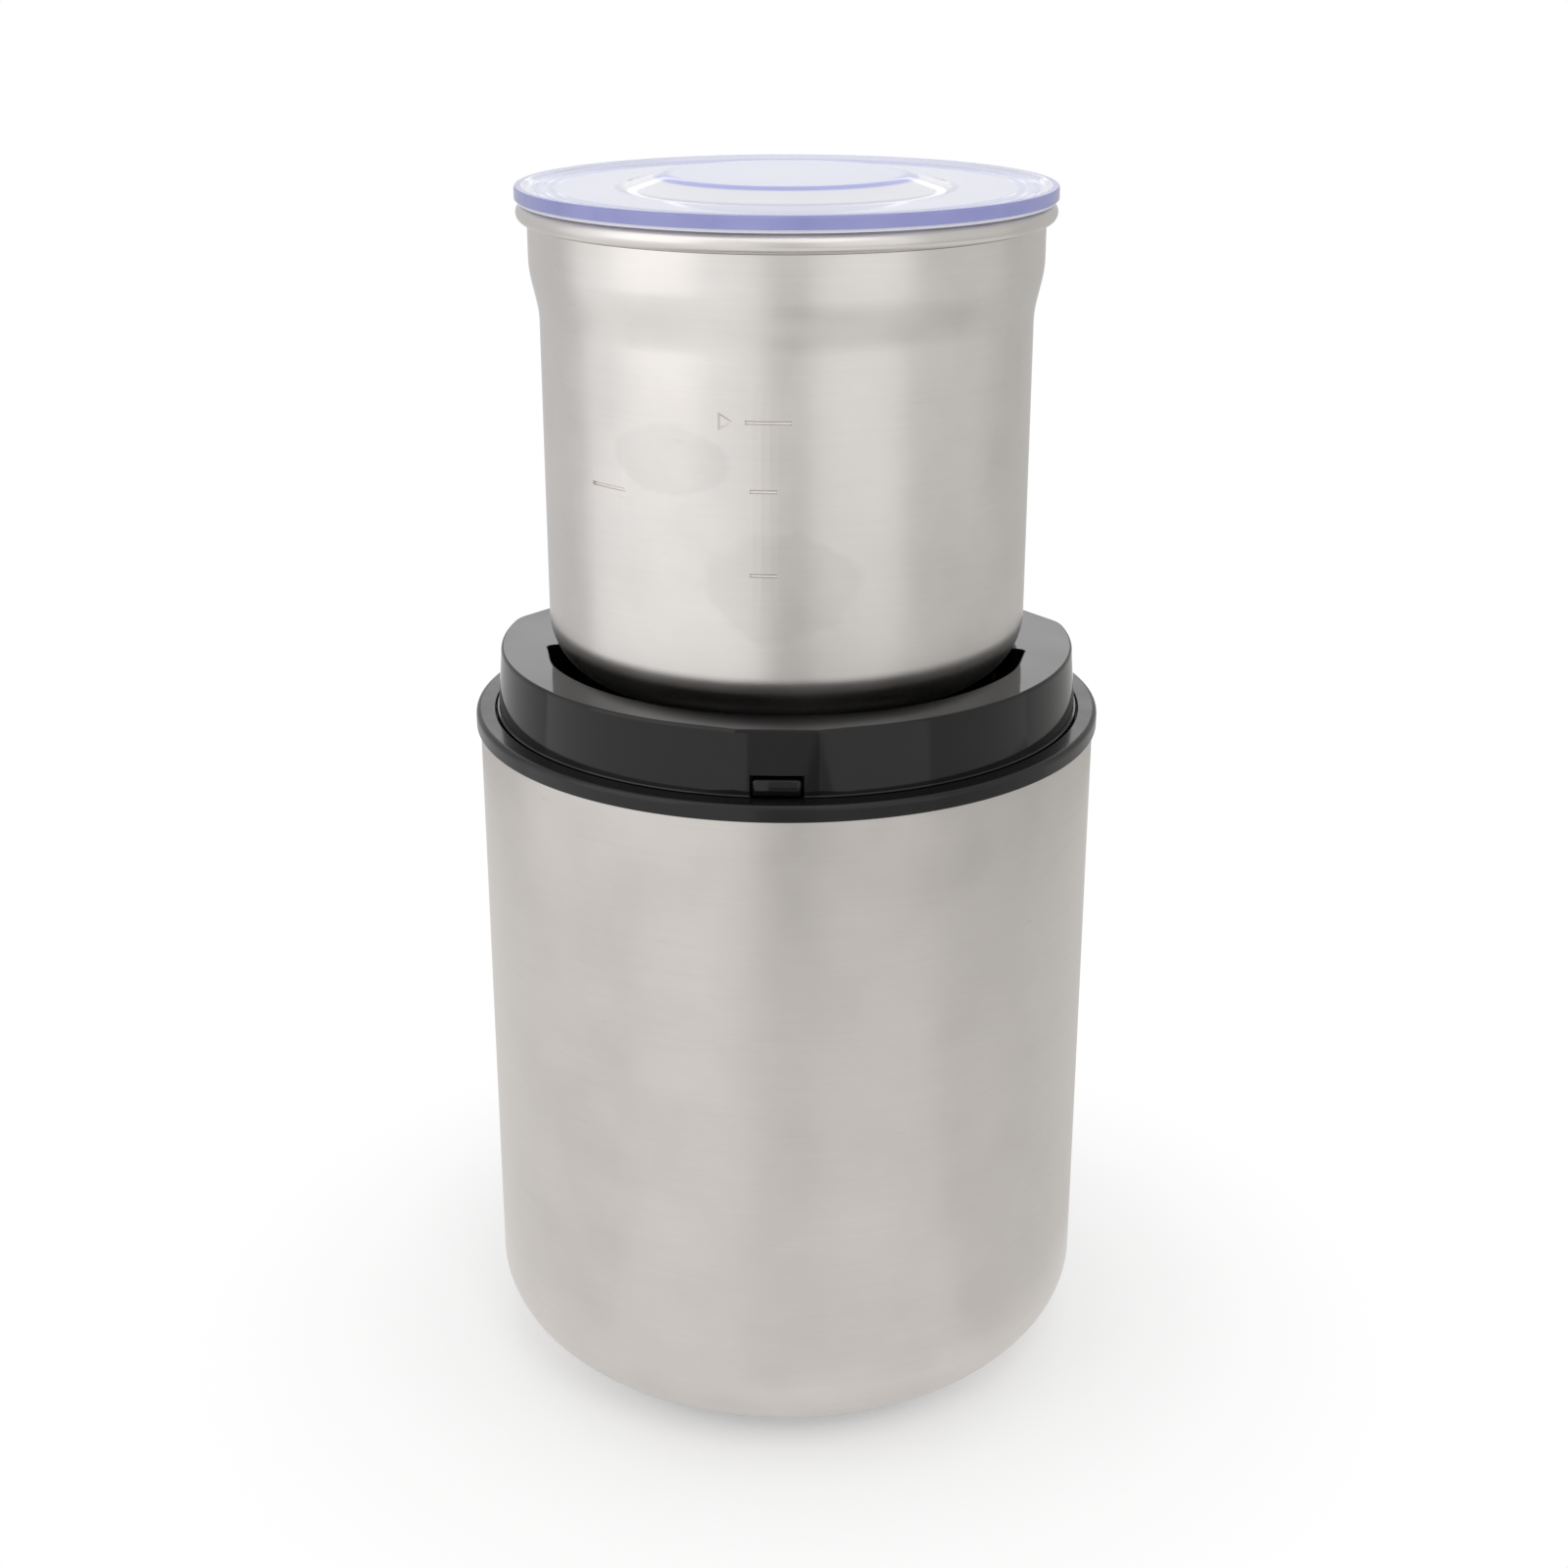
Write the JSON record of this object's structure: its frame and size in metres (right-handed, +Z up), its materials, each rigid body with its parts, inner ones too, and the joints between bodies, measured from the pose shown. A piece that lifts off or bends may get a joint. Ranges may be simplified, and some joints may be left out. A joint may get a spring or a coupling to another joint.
{
  "type": "electric spice grinder",
  "caption": "Free-standing electric spice grinder: round steel body with a black collar, lift-out steel cup with a two-armed blade and a clear storage lid.",
  "frame": {"origin": "centre of the footprint on the table, under the rubber feet", "axes": "+Z up along the motor axis; the collar's flat nose and its tab face -Y; +X is to the right seen from the front"},
  "size_m": [0.114, 0.114, 0.2254],
  "materials": {
    "brushed_steel": "circumferentially brushed stainless steel",
    "gloss_black": "glossy moulded ABS",
    "satin_black": "satin moulded plastic",
    "frame_grey": "matt moulded plastic",
    "switch_black": "phenolic switch housing",
    "switch_red": "moulded plunger",
    "wire_insulation": "PVC insulation",
    "terminal_cream": "moulded terminal block",
    "fan_white": "moulded fan",
    "coupling_black": "moulded nylon coupling",
    "rubber": "matt black rubber",
    "silicone": "silicone gasket",
    "motor_iron": "laminated steel and die-cast brackets",
    "copper": "enamelled copper",
    "bronze": "sintered bronze and brass",
    "carbon": "graphite",
    "bright_steel": "machined and plated steel",
    "blade_steel": "ground stainless steel",
    "lid_clear": "clear plastic with a violet tint"
  },
  "bodies": {
    "base": {"body_shell": "brushed_steel", "trim_ring": "satin_black", "collar": "gloss_black", "base_plate": "satin_black", "rubber_feet": "rubber", "base_screws": "bright_steel", "inner_frame": "frame_grey", "collar_screws": "bright_steel", "cord_grommet": "rubber", "stator_core": "motor_iron", "field_coils": "copper", "upper_bracket": "motor_iron", "lower_bracket": "motor_iron", "motor_bolts": "bright_steel", "motor_dampers": "rubber", "damper_screws": "bright_steel", "upper_bush": "bronze", "lower_bush": "bronze", "brush_holders": "bronze", "carbon_brushes": "carbon", "brush_springs": "bright_steel", "thermal_cutout": "terminal_cream", "terminal_block": "terminal_cream", "leads": "wire_insulation", "shaft_seal": "rubber", "switch_body": "switch_black", "switch_screws": "bright_steel"},
    "rotor": {"motor_shaft": "bright_steel", "rotor_core": "motor_iron", "rotor_windings": "copper", "commutator": "copper", "cooling_fan": "fan_white", "drive_coupling": "coupling_black"},
    "cup": {"cup_bowl": "brushed_steel", "cup_base": "satin_black", "spindle_bush": "bronze", "bush_nut": "bright_steel", "bush_gasket": "silicone"},
    "blade_set": {"blade_spindle": "bright_steel", "blade_washer": "bright_steel", "grinding_blade": "blade_steel", "blade_nut": "bright_steel", "driven_coupling": "coupling_black"},
    "lid": {"storage_lid": "lid_clear"},
    "tab": {"interlock_tab": "gloss_black"},
    "plunger": {"switch_plunger": "switch_red"}
  },
  "joints": [
    {"name": "rotor_spin", "type": "hinge", "parent": "base", "child": "rotor", "pos_m": [0, 0, 0.06], "axis": [0, 0, 1], "continuous": true},
    {"name": "cup_lift", "type": "slide", "parent": "base", "child": "cup", "axis": [0, 0, 1], "range_m": [0, 0.09]},
    {"name": "blade_spin", "type": "hinge", "parent": "cup", "child": "blade_set", "pos_m": [0, 0, 0.145], "axis": [0, 0, 1], "continuous": true},
    {"name": "lid_lift", "type": "slide", "parent": "cup", "child": "lid", "axis": [0, 0, 1], "range_m": [0, 0.06]},
    {"name": "tab_press", "type": "slide", "parent": "base", "child": "tab", "axis": [0, 1, 0], "range_m": [0, 0.0018], "stiffness_N_per_m": 300, "springref_m": -0.001},
    {"name": "plunger_press", "type": "slide", "parent": "base", "child": "plunger", "axis": [0, 1, 0], "range_m": [0, 0.0018]}
  ],
  "couplings": [
    {"joint": "blade_spin", "follows": "rotor_spin", "ratio": 1},
    {"joint": "plunger_press", "follows": "tab_press", "ratio": 1}
  ]
}
